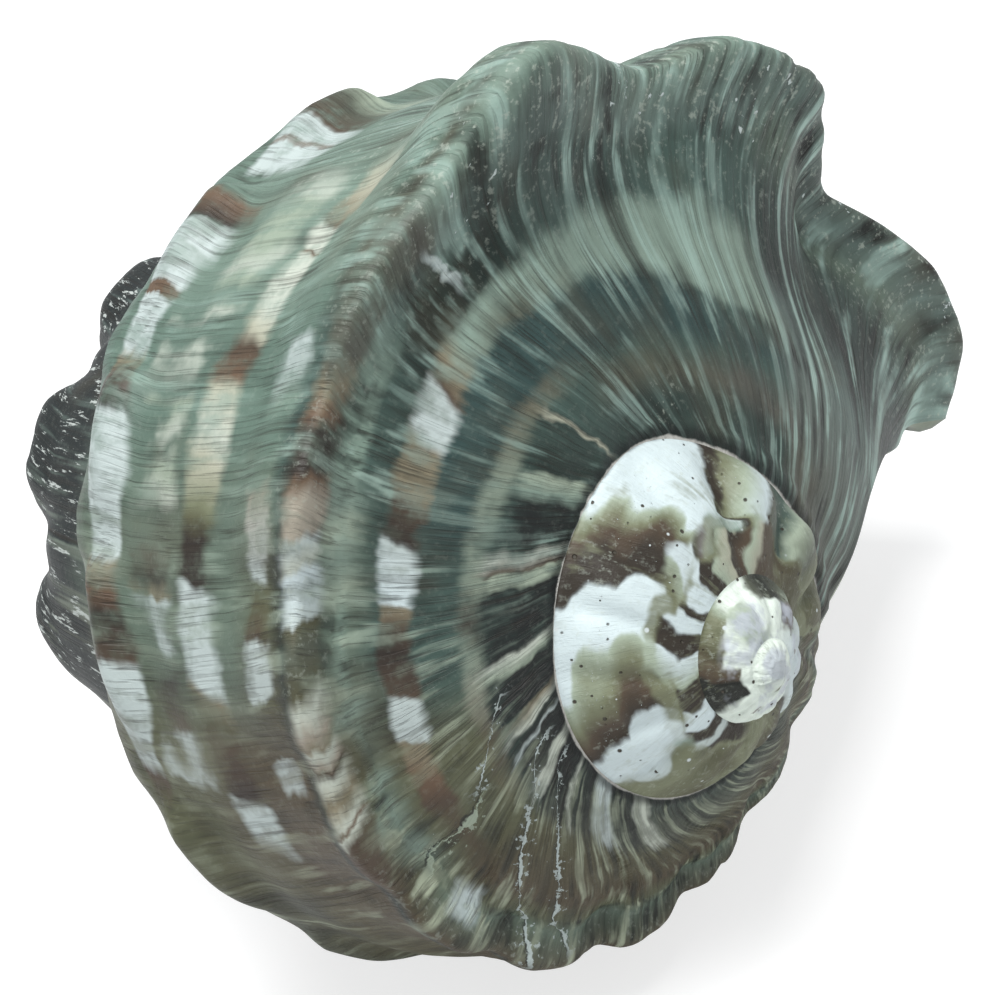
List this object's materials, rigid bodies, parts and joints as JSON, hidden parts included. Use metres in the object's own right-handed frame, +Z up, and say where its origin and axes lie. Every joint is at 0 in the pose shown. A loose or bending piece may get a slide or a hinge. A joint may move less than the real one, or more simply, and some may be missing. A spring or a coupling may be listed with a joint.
{
  "type": "turban shell",
  "caption": "Large dextral turban shell, hollow in its last whorl, with blunt shoulder knobs, a worn pale spire and a wide pearly mouth facing down.",
  "frame": {"origin": "bottom centre of the bounding box, on the surface that the shell rests on", "axes": "+Z is up as the shell lies on its mouth, +Y is the longest side of its box, and the spire points to +X and -Y"},
  "size_m": [0.15, 0.1648, 0.1378],
  "materials": {
    "shell": "worn natural shell, green and cream outside with brown blotches, satin gloss, pearly inside the mouth"
  },
  "bodies": {
    "root": {"shell": "shell"}
  },
  "joints": []
}
